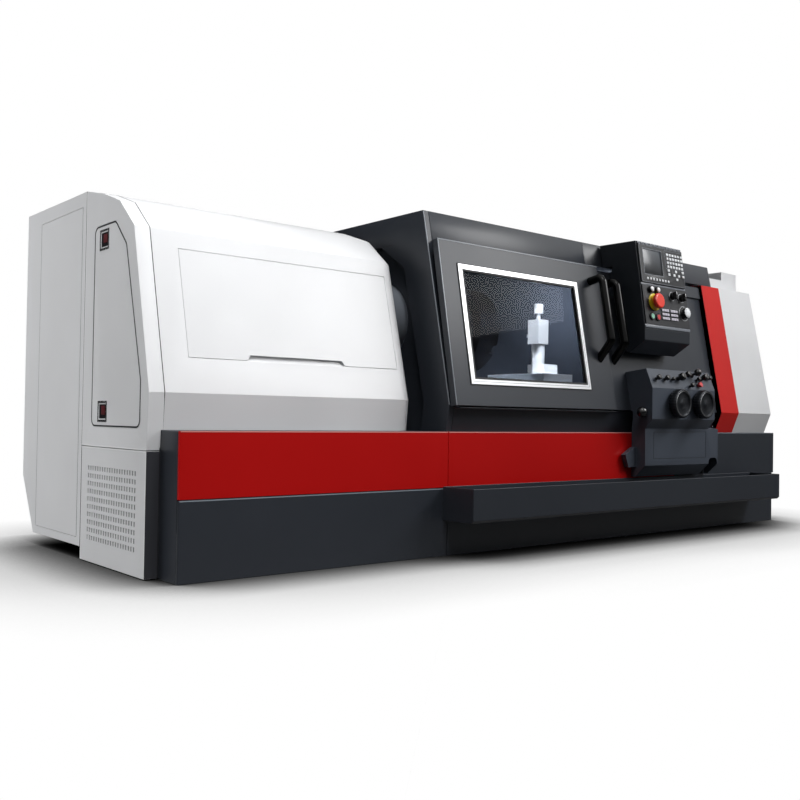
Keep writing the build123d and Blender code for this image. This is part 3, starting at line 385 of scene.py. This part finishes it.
# Latches: a bright bezel in each cup of the service door, with a black moulded paddle and its red grip.
def plain_metal(name, shade, rough, metallic=1.0, grain=(1, 1, 1), scale=400, bump=0.02):
    """Machined or drawn metal with a grain that runs one way."""
    made, tree, out = new_material(name)
    place = add(tree, "ShaderNodeTexCoord").outputs["Object"]
    # Tool marks are far finer than this, so they are drawn a few millimetres apart.
    drawn = add(tree, "ShaderNodeMapping", {"Vector": place, "Scale": grain})
    lines = add(tree, "ShaderNodeTexNoise", {"Vector": drawn.outputs[0], "Scale": scale, "Detail": 4})
    relief = add(tree, "ShaderNodeBump", {"Height": lines.outputs[0], "Strength": bump, "Distance": 0.001})
    gloss = add(tree, "ShaderNodeMapRange", {"Value": lines.outputs[0], "To Min": rough - 0.06,
                                             "To Max": rough + 0.08})
    skin = add(tree, "ShaderNodeBsdfPrincipled", {"Base Color": colour(shade), "Metallic": metallic,
                                                  "Roughness": gloss.outputs[0], "Normal": relief.outputs[0]})
    tree.links.new(skin.outputs[0], out.inputs["Surface"])
    return made


bezel_steel = plain_metal("bright_zinc_bezel", "#dfe1e3", 0.25)
paddle_black = moulded("black_moulded_paddle", "#101114", 0.35)
grip_red = moulded("dark_red_moulded_grip", "#5a2226", 0.35)
folded(["latch_upper", "latch_lower"], paddle_black, 0.001)
for latch_name, y, z in (("upper", 705, 1580), ("lower", 690, 745)):
    rim = bmesh.new()
    border(rim, (-y - 56, z - 51), (-y + 56, z + 51), 11, -0.5, 2.2)
    set_on(END_FACE, f"latch_bezel_{latch_name}", rim, bezel_steel, "service_door")
    grip = bmesh.new()
    bar(grip, (-y - 14, z - 16, -6), (-y + 27, z + 27, 1.2), 1.5)
    set_on(END_FACE, f"latch_grip_{latch_name}", grip, grip_red, f"{latch_name}_latch")

# Base edges: light grey strips along the folded top edges of the base covers are painted highlights, where
# the folds catch the light.
BASE_FACE = leaning((0, 0), (0, 665))
base_highlight_grey = powder_coat("painted_highlight_grey_edge", "#868d96", 0.4)
tape(BASE_FACE, "base_top_highlights",
     [(4, 357, 1566, 362.4, 0.6), (1578, 357, 3660, 362.4, 0.6), (3668, 660, 4958, 665.3, 0.6)],
     base_highlight_grey, "machine")
# Painted highlights: pale red strips along the red panels' top edges.
red_highlight_paint = powder_coat("painted_highlight_red_edge", "#dc8a85", 0.4)
tape(BASE_FACE, "red_top_highlights",
     [(3, 659.5, 1567, 665.3, 0.6), (1577, 659.5, 3657, 665.3, 0.6)],
     red_highlight_paint, "machine")

# Enclosure: walls, header and sill of bolted sheet steel round the turning gear.
folded(["wall_left", "header", "sill"], anthracite, 0.005)
folded(["enclosure_back", "wall_right"], anthracite, 0.002)
stripe_red = powder_coat("traffic_red_powder_coat", "#c8201c", 0.4, level=0.15)
folded(["stripe_cover"], stripe_red, 0.003)
folded(["right_cover", "step_box"], pearl_grey, 0.004)

# Enclosure trim: two cover plates on the header that meet in a seam over the doors, a plate joint
# across the end wall, and a light grey strip on the front corner edge, which is a painted highlight.
HEADER_FACE = leaning((28, 809), (269, 1911))
plates = bmesh.new()
bar(plates, (1640, 957, -1), (2980, 1126, 1.6), 0.7)
bar(plates, (2984.5, 957, -1), (4456, 1126, 1.6), 0.7)
set_on(HEADER_FACE, "header_plates", plates, anthracite, "machine")
# Light grey strips along folded edges are painted highlights.
highlight_strip_grey = powder_coat("painted_highlight_grey_strip", "#8d9299", 0.3)
corner_highlight_strip = bmesh.new()
bar(corner_highlight_strip, (1597.5, 3, -1), (1604, 1122, 1.6), 0.8)
set_on(HEADER_FACE, "corner_highlight_strip", corner_highlight_strip, highlight_strip_grey, "machine")
joint = bmesh.new()
bar(joint, (-978, 1743.5, -1), (-533, 1746.5, 0.5))
set_on(end_face(1597), "end_wall_joint", joint, seal_rubber, "machine")

# Doors: deep sheet pans. The left one carries a framed window, both have a bowed pull bar.
folded(["door_left", "door_right"], anthracite, 0.004)
DOOR_FACE = leaning((-29, 808), (147, 1738))
# Painted highlight: a light grey strip along the left door's top and left edges.
door_highlight_bars = bmesh.new()
bar(door_highlight_bars, (1600, 938.5, -2), (2987, 945.5, 1.4), 0.9)
bar(door_highlight_bars, (1600, 1, -2), (1606, 938, 1.4), 0.9)
set_on(DOOR_FACE, "door_edge_highlight", door_highlight_bars, highlight_strip_grey, "left_door")

# The window's frame is a drawn extrusion with a groove round it, and a rubber gasket on both sides. The
# groove
# is not cut: a darker grey strip on the frame is painted shade for it.
aluminium = plain_metal("anodised_aluminium", "#e4e5e7", 0.34, grain=(0.05, 1, 1))
folded(["window_frame"], aluminium, 0.0015)
groove = bmesh.new()
border(groove, (1743, 135), (2740, 797), 3, 6.4, 7.3)
groove_shade_grey = powder_coat("extrusion_groove_painted_shade", "#9b9ea3", 0.5)
set_on(DOOR_FACE, "window_frame_groove", groove, groove_shade_grey, "left_door")
gasket = bmesh.new()
border(gasket, (1724, 116), (2759, 816), 5, -0.5, 3)
border(gasket, (1757, 149), (2726, 783), 12, -6, 7.6)
set_on(DOOR_FACE, "window_gasket", gasket, seal_rubber, "left_door")

# Real glass bends light at 1.5. The pane has 1.1, so that it mirrors the lamps less.
pane_glass, tree, out = new_material("laminated_safety_glass")
pane = add(tree, "ShaderNodeBsdfPrincipled", {"Base Color": colour("#9aa0a9"), "Roughness": 0.02, "IOR": 1.1,
                                              "Transmission Weight": 1.0})
tree.links.new(pane.outputs[0], out.inputs["Surface"])
folded(["window_glass"], pane_glass, 0.0005, 1)

# Control station: a folded sheet pendant that the right door carries. Its leaning face holds a display
# unit above a plate of lamps, keys and knobs, all screwed in from behind.
PENDANT = leaning((-117, 1330), (-33, 1904))
keypad_film = moulded("black_keypad_film", "#14161b", 0.38)
gloss_black = moulded("black_moulded_nylon", "#0b0c0f", 0.24, coat=0.4)
key_white = moulded("white_key_rubber", "#e9ebee", 0.5)
trim_grey = powder_coat("mid_grey_powder_coat", "#6d727a", 0.4)
nickel = plain_metal("nickel_plated_steel", "#d3d5d8", 0.2)
# Painted shade: the pendant's sheet is a darker copy of the anthracite coat.
folded(["pendant"], powder_coat("anthracite_painted_shade_coat", "#25292f", 0.42, level=0.25), 0.004)
folded(["lcd_unit", "operator_panel"], keypad_film, 0.0012, 2)

# Pendant trim: a light sill strip under the operator plate, a band between the two units and the
# ribbed vent along the top, in a lighter grey than the sheet that they are screwed to.
strips = bmesh.new()
bar(strips, (3152, 8, -1), (3648, 29, 6), 1.5)
bar(strips, (3156, 291, -1), (3648, 305, 4), 1)
for rib in range(11):
    bar(strips, (3160 + 44.6 * rib, 564, -1), (3196 + 44.6 * rib, 578, 7), 1.5)
set_on(PENDANT, "pendant_strips", strips, trim_grey, "station")

# Display unit: a liquid crystal panel behind glass, sunk in a black moulded bezel with rubber keys.
display_painted_reflection, tree, out = new_material("display_glass_painted_reflection")
height = add(tree, "ShaderNodeSeparateXYZ", {0: add(tree, "ShaderNodeTexCoord").outputs["Object"]})
# Painted reflection: the unlit screen turns lighter towards its top.
reflection_fade = add(tree, "ShaderNodeMapRange", {"Value": height.outputs["Z"], "From Min": 1.70, "From Max": 1.87})
shade = add(tree, "ShaderNodeMix", {0: reflection_fade.outputs[0], 6: colour("#101318"), 7: colour("#3c434b")},
            data_type="RGBA")
film = add(tree, "ShaderNodeBsdfPrincipled", {"Base Color": shade.outputs[2], "Roughness": 0.3,
                                              "Coat Weight": 0.2, "Coat Roughness": 0.1})
tree.links.new(film.outputs[0], out.inputs["Surface"])
screen = bmesh.new()
bar(screen, (3203.5, 366.5, 7), (3397.5, 529.5, 9.2), 0.4)
set_on(PENDANT, "display_screen", screen, display_painted_reflection, "station")
# The grey rim round the screen is a frame, and partly a painted highlight along the screen's lower edge.
rims = bmesh.new()
border(rims, (3196, 360), (3405, 536), 4, 11, 12.8)
border(rims, (3163, 309), (3641, 559), 2.5, 11, 12.6)
border(rims, (3440, 424), (3640, 548), 2, 11, 12.5)
set_on(PENDANT, "display_rims", rims, trim_grey, "station")
keys = bmesh.new()
for i in range(8):
    bar(keys, (3216.4 + 32.5 * i, 327, 11), (3232.6 + 32.5 * i, 342, 15), 1.6)
# Beside the screen are four rows of six keys, and under them eight keys in three loose rows.
keypad = [(3458 + 31.5 * column, 431 + 27 * row) for row in range(4) for column in range(6)]
loose_keys = [(3458, 404), (3540, 404), (3618, 404), (3460, 377), (3518, 377), (3570, 377), (3620, 377),
              (3545, 350)]
for u, v in keypad + loose_keys:
    bar(keys, (u - 0.5, v - 0.5, 11), (u + 21.5, v + 16.5, 15), 1.6)
set_on(PENDANT, "display_keys", keys, key_white, "station")

# Operator plate: signal lamps, a stop mushroom on its yellow plate, start and stop keys, six strips of
# function keys and an override dial, each clamped in its hole by a threaded ring.
SIGNAL_LAMPS = ((3240, 262), (3308, 262))
START_AND_STOP = ((3228, 83), (3291, 81))
MUSHROOM = (3268, 180)
SELECTORS = {"selector_left": (3478, 238), "selector_right": (3578, 234)}
DIAL = (3590, 130)
bases = bmesh.new()
lenses = bmesh.new()
for lamp_place in SIGNAL_LAMPS:
    turn(bases, [(0, 7), (22, 7), (22, 24), (20, 26), (0, 26)], lamp_place)
    turn(lenses, [(0, 25), (17, 25), (17, 28), (13, 31.5), (6, 33), (0, 33.3)], lamp_place)
for key_place in START_AND_STOP:
    collar(bases, 18, 25, 7, 17, key_place)
set_on(PENDANT, "panel_bezels", bases, gloss_black, "station")
lens_white = moulded("opal_lamp_lens", "#f4f5f6", 0.25, coat=0.5)
set_on(PENDANT, "panel_lenses", lenses, lens_white, "station")
stop_plate = bmesh.new()
turn(stop_plate, [(9, 7), (55, 7), (57, 9), (57, 14), (54, 16), (40, 16), (36, 14.5), (9, 14.5), (9, 7)],
     MUSHROOM, 56)
stop_yellow = moulded("yellow_moulded_plastic", "#d9c21c", 0.35)
set_on(PENDANT, "stop_plate", stop_plate, stop_yellow, "station")
rings = bmesh.new()
for knob_place in SELECTORS.values():
    collar(rings, 27, 31, 7, 10.5, knob_place)
collar(rings, 46, 51, 7, 11, DIAL)
set_on(PENDANT, "panel_rings", rings, nickel, "station")
function_keys = bmesh.new()
for row in range(3):
    for column in range(2):
        for key in range(3):
            u, v = 3339 + 96 * column + 26.6 * key, 71.6 + 27 * row
            bar(function_keys, (u, v, 11), (u + 25, v + 17, 14.5), 1.4)
key_grey = moulded("grey_key_rubber", "#c3c0cb", 0.5)
set_on(PENDANT, "function_keys", function_keys, key_grey, "station")
stop_red = moulded("red_moulded_plastic", "#f0361f", 0.3, coat=0.3)
start_green = moulded("green_moulded_plastic", "#8fc9ae", 0.3, coat=0.3)
key_red = moulded("dull_red_moulded_plastic", "#d2383a", 0.3, coat=0.3)
folded(["estop"], stop_red, 0.0015)
folded(["button_stop", "apron_button"], key_red, 0.0015)
folded(["button_start"], start_green, 0.0015)
folded(["knob_left", "knob_right", "feed_dial"], gloss_black, 0.0015)
for body, (u, v) in SELECTORS.items():
    pointer = bmesh.new()
    bar(pointer, (u - 2, v + 2, 47), (u + 2, v + 23, 48.6), 0.4)
    set_on(PENDANT, f"{body}_pointer", pointer, key_white, body)
dial_face = bmesh.new()
turn(dial_face, [(0, 39), (33, 39), (33, 41), (31.5, 42), (0, 42)], DIAL)
set_on(PENDANT, "dial_face", dial_face, key_white, "override_dial")
ticks = bmesh.new()
for i in range(24):
    one = bmesh.ops.create_cube(ticks, size=1)["verts"]
    bmesh.ops.scale(ticks, vec=(5, 1.2, 0.5), verts=one)
    bmesh.ops.translate(ticks, vec=(27, 0, 42.1), verts=one)
    bmesh.ops.rotate(ticks, matrix=Matrix.Rotation(math.tau * i / 24, 3, "Z"), verts=one)
    bmesh.ops.translate(ticks, vec=(*DIAL, 0), verts=one)
set_on(PENDANT, "dial_ticks", ticks, keypad_film, "override_dial")

# Apron: the manual panel under the pendant, a desk of knobs above two hand wheels, and a plain box
# with a screwed inspection cover below.
# Painted light: the apron's paint is a lighter copy of the anthracite coat, which makes up for the light that
# the pendant keeps off it.
apron_painted_light_coat = powder_coat("anthracite_painted_light_coat", "#454b55", 0.42, level=0.25)
folded(["apron"], apron_painted_light_coat, 0.004)
BOX_FACE = leaning((-110, 454), (-110, 692))
seam = bmesh.new()
border(seam, (3263, 42), (3861, 217), 3, -1.9, -0.9)
set_on(BOX_FACE, "inspection_cover_seam", seam, keypad_film, "station")
folded(["selector_knobs", "joystick", "pull_knob"], gloss_black, 0.0015)


# Hand wheels: turned from black anodised aluminium, with a scalloped grip, a dished front faced on the
# lathe and a bright line where the dish meets the rim.
def faced_black(name, x, z):
    """Black anodised aluminium whose facing cuts run in rings round an axis."""
    made, tree, out = new_material(name)
    spot = -at(x, 0, z)
    place = add(tree, "ShaderNodeTexCoord").outputs["Object"]
    centred = add(tree, "ShaderNodeMapping", {"Vector": place, "Location": spot})
    # The facing cuts are 0.2 mm apart, drawn at 4 mm so that they show.
    cuts = add(tree, "ShaderNodeTexWave", {"Vector": centred.outputs[0], "Scale": 78.0, "Distortion": 0.2},
               wave_type="RINGS", rings_direction="Y")
    relief = add(tree, "ShaderNodeBump", {"Height": cuts.outputs["Fac"], "Strength": 0.25, "Distance": 0.001})
    skin = add(tree, "ShaderNodeBsdfPrincipled", {"Base Color": colour("#23262b"), "Metallic": 0.6,
                                                  "Roughness": 0.34, "Normal": relief.outputs[0]})
    tree.links.new(skin.outputs[0], out.inputs["Surface"])
    return made


APRON_FOOT = 756
APRON_FACE = leaning((-161, APRON_FOOT), (-161, 956))
WHEEL_HEIGHT = 100
WHEEL_SECTION = [(0, -18), (12, -18), (12, 0.3), (56, 0.3), (58, 2), (58, 11), (86, 11), (92, 13), (95, 19),
                 (95, 57), (92, 62), (86, 64), (82, 63.5), (79, 60), (77, 55), (68, 53.5), (22, 52),
                 (18, 54), (0, 54)]
# The grip starts at a radius of 90 mm and has 32 scallops round it.
GRIP_RADIUS = 90
SCALLOPS = 32
for wheel, x in {"left": 3425, "right": 3697}.items():
    rim = bmesh.new()
    turn(rim, WHEEL_SECTION, (x, WHEEL_HEIGHT), 128)
    for corner in rim.verts:
        across, up = corner.co.x - x, corner.co.y - WHEEL_HEIGHT
        if math.hypot(across, up) > GRIP_RADIUS:
            keep = 0.985 + 0.015 * math.cos(SCALLOPS * math.atan2(up, across))
            corner.co.x, corner.co.y = x + across * keep, WHEEL_HEIGHT + up * keep
    anodised = faced_black(f"black_anodised_wheel_{wheel}", x, APRON_FOOT + WHEEL_HEIGHT)
    one = set_on(APRON_FACE, f"hand_wheel_{wheel}", rim, anodised, f"wheel_{wheel}", 40)
    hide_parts(f"handwheel_{wheel}")
    line = bmesh.new()
    collar(line, 78.4, 80.8, 58, 63.6, (x, WHEEL_HEIGHT))
    set_on(APRON_FACE, f"hand_wheel_line_{wheel}", line, nickel, f"wheel_{wheel}")

# Handles: bowed pull bars in black coated tube.
tube_black = moulded("black_coated_tube", "#020303", 0.12, grain=60, level=0.22)
folded(["handle_left", "handle_right"], tube_black, 0.003)

# Inside light: two lamps with no fixture of their own stand for the machine's work light. One lights the
# turret, the other the sheet behind the tailstock.
work_lamp = lamp("work_lamp", at(2760, 300, 1560), at(2805, 480, 1300), (0.12, 0.12), 30)
work_lamp.data.spread = math.radians(80)
work_lamp.visible_camera = False
work_lamp.visible_transmission = False
back_lamp = lamp("back_lamp", at(3900, 720, 1800), at(3950, 1190, 1300), (0.5, 0.2), 42)
back_lamp.visible_camera = False
back_lamp.visible_transmission = False
back_lamp.visible_glossy = False

# Turning gear: iron castings in grey paint carry a ground spindle and quill. The chuck and its jaws are
# dark with cutting oil, and the cross slide and turret are satin chromed.
cast_iron = plain_metal("painted_grey_cast_iron", "#5c6168", 0.55, metallic=0.0, scale=90, bump=0.1)
steel = plain_metal("ground_steel", "#b9bcc0", 0.32)
oiled_steel = plain_metal("oiled_dark_steel", "#5a5e66", 0.5)
bright_steel = plain_metal("satin_chromed_steel", "#f2f3f4", 0.5, metallic=0.1)
folded(["headstock", "bed", "saddle", "tailstock"], cast_iron, 0.005)
folded(["chuck", "jaw_1", "jaw_2", "jaw_3"], oiled_steel, 0.002)
folded(["spindle", "quill", "live_centre"], steel, 0.0015)
folded(["cross_slide", "turret"], bright_steel, 0.0015)

# Cabinet: the drives behind the end door, in plain grey housings.
housing_plastic = powder_coat("grey_moulded_housing", "#80848a", 0.5)
folded(["cabinet_gear"], housing_plastic, 0.003)
